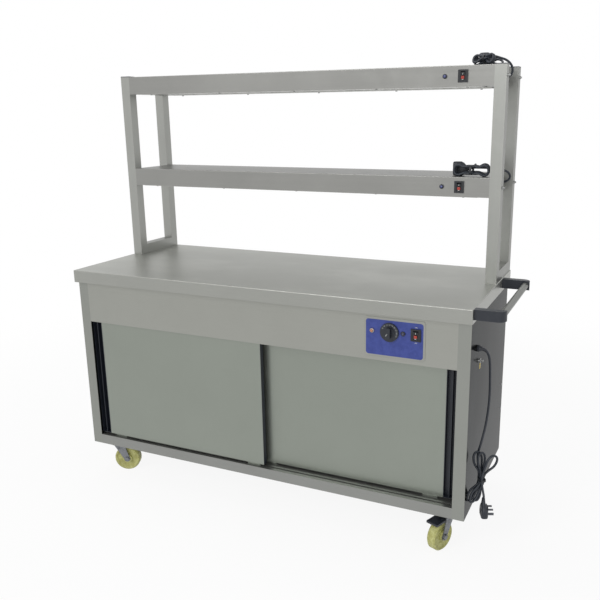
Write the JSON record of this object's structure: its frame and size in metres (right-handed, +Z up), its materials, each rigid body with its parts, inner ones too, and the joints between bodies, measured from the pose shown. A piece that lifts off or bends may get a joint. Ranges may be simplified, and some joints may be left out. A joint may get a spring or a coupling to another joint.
{
  "type": "heated servery trolley",
  "caption": "Stainless steel heated servery trolley with a sliding-door cupboard, a two-shelf heat-lamp gantry, swivel casters, a push handle and hanked mains cords.",
  "frame": {"origin": "on the floor, at the centre of the plan of the trolley with its push handle", "axes": "+X to the right along the worktop as seen from the door side, +Y to the back, +Z up"},
  "size_m": [1.597, 0.6079, 1.5763],
  "materials": {
    "black_plastic": "satin black moulded plastic",
    "blue_plate": "steel plate with a screen-printed blue field",
    "cord": "matt dark grey cord sheath",
    "door_steel": "brushed satin stainless steel, a little darker",
    "lamp_lens": "translucent coloured lens",
    "quartz": "frosted quartz tube with ceramic ends",
    "red_rocker": "glossy red moulded plastic",
    "reflector": "plain aluminised sheet",
    "sheath": "heat-darkened metal sheath",
    "steel": "brushed satin stainless steel",
    "tyre": "soft ochre-yellow polyurethane tread",
    "zinc": "zinc-plated pressed steel"
  },
  "bodies": {
    "trolley": {"back_panel": "steel", "cabinet_floor": "steel", "caster_plates": "zinc", "control_plate": "blue_plate", "cord_glands": "black_plastic", "cupboard_shelf": "steel", "door_rail": "steel", "earth_stud": "zinc", "fascia": "steel", "foot_rails": "steel", "handle_brackets": "black_plastic", "handle_tube": "steel", "heat_lamps": "quartz", "heater_cover": "steel", "heating_rod": "sheath", "lamp_plates": "reflector", "lower_cord": "cord", "lower_hank": "cord", "lower_plug": "cord", "lower_shelf": "steel", "main_cord": "cord", "main_hank": "cord", "main_plug": "cord", "pilot_lamps": "lamp_lens", "plate_screws": "zinc", "post_caps": "black_plastic", "post_front_left": "steel", "post_front_right": "steel", "post_rear_left": "steel", "post_rear_right": "steel", "shelf_bolts": "zinc", "side_panel_left": "steel", "side_panel_right": "steel", "switch_frames": "black_plastic", "thermostat": "black_plastic", "top_track": "steel", "upper_cord": "cord", "upper_hank": "cord", "upper_plug": "cord", "upper_shelf": "steel", "worktop": "steel", "worktop_ribs": "steel"},
    "left_door": {"left_door": "door_steel", "left_door_pull": "black_plastic"},
    "right_door": {"right_door": "door_steel", "right_door_pull": "black_plastic"},
    "dial": {"dial": "black_plastic"},
    "main_rocker": {"main_rocker": "red_rocker"},
    "upper_rocker": {"upper_rocker": "black_plastic"},
    "lower_rocker": {"lower_rocker": "black_plastic"},
    "swivel_fl": {"caster_fl_fork": "zinc"},
    "wheel_fl": {"caster_fl_wheel": "tyre"},
    "swivel_fr": {"caster_fr_fork": "zinc"},
    "wheel_fr": {"caster_fr_wheel": "tyre"},
    "pedal_fr": {"caster_fr_pedal": "black_plastic"},
    "swivel_rl": {"caster_rl_fork": "zinc"},
    "wheel_rl": {"caster_rl_wheel": "tyre"},
    "swivel_rr": {"caster_rr_fork": "zinc"},
    "wheel_rr": {"caster_rr_wheel": "tyre"},
    "pedal_rr": {"caster_rr_pedal": "black_plastic"}
  },
  "joints": [
    {"name": "left_door_slide", "type": "slide", "parent": "trolley", "child": "left_door", "axis": [1, 0, 0], "range_m": [0, 0.683]},
    {"name": "right_door_slide", "type": "slide", "parent": "trolley", "child": "right_door", "axis": [-1, 0, 0], "range_m": [0, 0.683]},
    {"name": "dial_turn", "type": "hinge", "parent": "trolley", "child": "dial", "pos_m": [0.444, -0.2938, 0.7285], "axis": [0, 1, 0], "range_deg": [0, 300]},
    {"name": "main_rocker_tilt", "type": "hinge", "parent": "trolley", "child": "main_rocker", "pos_m": [0.529, -0.2795, 0.7285], "axis": [-1, 0, 0], "range_deg": [0, 18]},
    {"name": "upper_rocker_tilt", "type": "hinge", "parent": "trolley", "child": "upper_rocker", "pos_m": [0.564, 0.054, 1.4975], "axis": [-1, 0, 0], "range_deg": [0, 18]},
    {"name": "lower_rocker_tilt", "type": "hinge", "parent": "trolley", "child": "lower_rocker", "pos_m": [0.564, 0.054, 1.1475], "axis": [-1, 0, 0], "range_deg": [0, 18]},
    {"name": "swivel_fl_turn", "type": "hinge", "parent": "trolley", "child": "swivel_fl", "pos_m": [-0.721, -0.225, 0.1147], "axis": [0, 0, 1], "continuous": true},
    {"name": "wheel_fl_spin", "type": "hinge", "parent": "swivel_fl", "child": "wheel_fl", "pos_m": [-0.68903, -0.21076, 0.05], "axis": [-0.4067, 0.9135, 0], "continuous": true},
    {"name": "swivel_fr_turn", "type": "hinge", "parent": "trolley", "child": "swivel_fr", "pos_m": [0.629, -0.225, 0.1147], "axis": [0, 0, 1], "continuous": true},
    {"name": "wheel_fr_spin", "type": "hinge", "parent": "swivel_fr", "child": "wheel_fr", "pos_m": [0.61589, -0.25745, 0.05], "axis": [0.9272, -0.3746, 0], "continuous": true},
    {"name": "pedal_fr_press", "type": "hinge", "parent": "swivel_fr", "child": "pedal_fr", "pos_m": [0.61926, -0.24911, 0.106], "axis": [0.9272, -0.3746, 0], "range_deg": [0, 8]},
    {"name": "swivel_rl_turn", "type": "hinge", "parent": "trolley", "child": "swivel_rl", "pos_m": [-0.721, 0.225, 0.1147], "axis": [0, 0, 1], "continuous": true},
    {"name": "wheel_rl_spin", "type": "hinge", "parent": "swivel_rl", "child": "wheel_rl", "pos_m": [-0.69342, 0.24655, 0.05], "axis": [-0.6157, 0.788, 0], "continuous": true},
    {"name": "swivel_rr_turn", "type": "hinge", "parent": "trolley", "child": "swivel_rr", "pos_m": [0.629, 0.225, 0.1147], "axis": [0, 0, 1], "continuous": true},
    {"name": "wheel_rr_spin", "type": "hinge", "parent": "swivel_rr", "child": "wheel_rr", "pos_m": [0.63747, 0.19104, 0.05], "axis": [0.9703, 0.2419, 0], "continuous": true},
    {"name": "pedal_rr_press", "type": "hinge", "parent": "swivel_rr", "child": "pedal_rr", "pos_m": [0.63529, 0.19977, 0.106], "axis": [0.9703, 0.2419, 0], "range_deg": [0, 8]}
  ]
}
